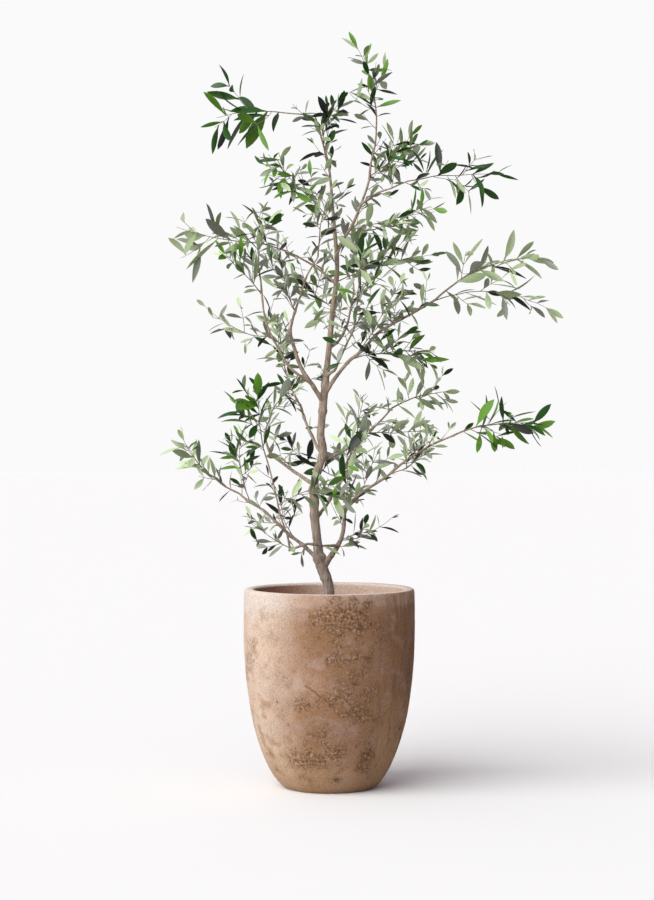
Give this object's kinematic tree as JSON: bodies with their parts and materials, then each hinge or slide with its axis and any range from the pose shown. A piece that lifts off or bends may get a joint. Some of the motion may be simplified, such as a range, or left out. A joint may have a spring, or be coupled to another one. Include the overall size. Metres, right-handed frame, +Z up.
{
  "type": "potted olive tree",
  "caption": "Young olive tree with an open, airy crown of narrow leaves, standing in a tall round clay pot with a rounded foot.",
  "frame": {"origin": "middle of the pot's flat underside", "axes": "+Z up along the pot's axis, -Y out of the front, +X to the right as seen from the front"},
  "size_m": [0.8677, 0.6932, 1.5973],
  "materials": {
    "terracotta": "aged, limewashed, matt",
    "potting_mix": "loose granules, matt",
    "bark": "young grey-brown bark",
    "leaves": "satin green above, silver-grey beneath"
  },
  "bodies": {
    "root": {"pot": "terracotta", "soil": "potting_mix", "trunk": "bark", "bough_low_right": "bark", "bough_low_right_arm": "bark", "bough_crossing": "bark", "bough_crossing_up": "bark", "bough_low_left": "bark", "bough_low_back": "bark", "bough_mid_left": "bark", "bough_mid_back": "bark", "bough_mid_right": "bark", "bough_upper_left": "bark", "bough_outer_left": "bark", "bough_inner_left": "bark", "bough_upper_right": "bark", "bough_front": "bark", "bough_back": "bark", "bough_far_left": "bark", "bough_right_leader": "bark", "bough_right_arm_top": "bark", "bough_top_left": "bark", "foliage_arm_end": "leaves", "foliage_arm_middle": "leaves", "foliage_low_right": "leaves", "foliage_low_spur": "leaves", "foliage_low_front": "leaves", "foliage_mid_right": "leaves", "foliage_mid_right_low": "leaves", "foliage_low_left": "leaves", "foliage_low_left_up": "leaves", "foliage_low_inner": "leaves", "foliage_crossing": "leaves", "foliage_crossing_up": "leaves", "foliage_crossing_in": "leaves", "foliage_mid_left": "leaves", "foliage_low_back": "leaves", "foliage_low_back_side": "leaves", "foliage_mid_back": "leaves", "foliage_outer_left_low": "leaves", "foliage_outer_left": "leaves", "foliage_outer_left_side": "leaves", "foliage_inner_left": "leaves", "foliage_inner_left_low": "leaves", "foliage_fork_end": "leaves", "foliage_low_end": "leaves", "foliage_upper_right": "leaves", "foliage_upper_right_under": "leaves", "foliage_front": "leaves", "foliage_back": "leaves", "foliage_back_side": "leaves", "foliage_far_left": "leaves", "foliage_right_back": "leaves", "foliage_right_leader": "leaves", "foliage_leader_side": "leaves", "foliage_arm_top": "leaves", "foliage_arm_top_low": "leaves", "foliage_trunk_top": "leaves", "foliage_top_left": "leaves", "foliage_top_front": "leaves"}
  },
  "joints": []
}
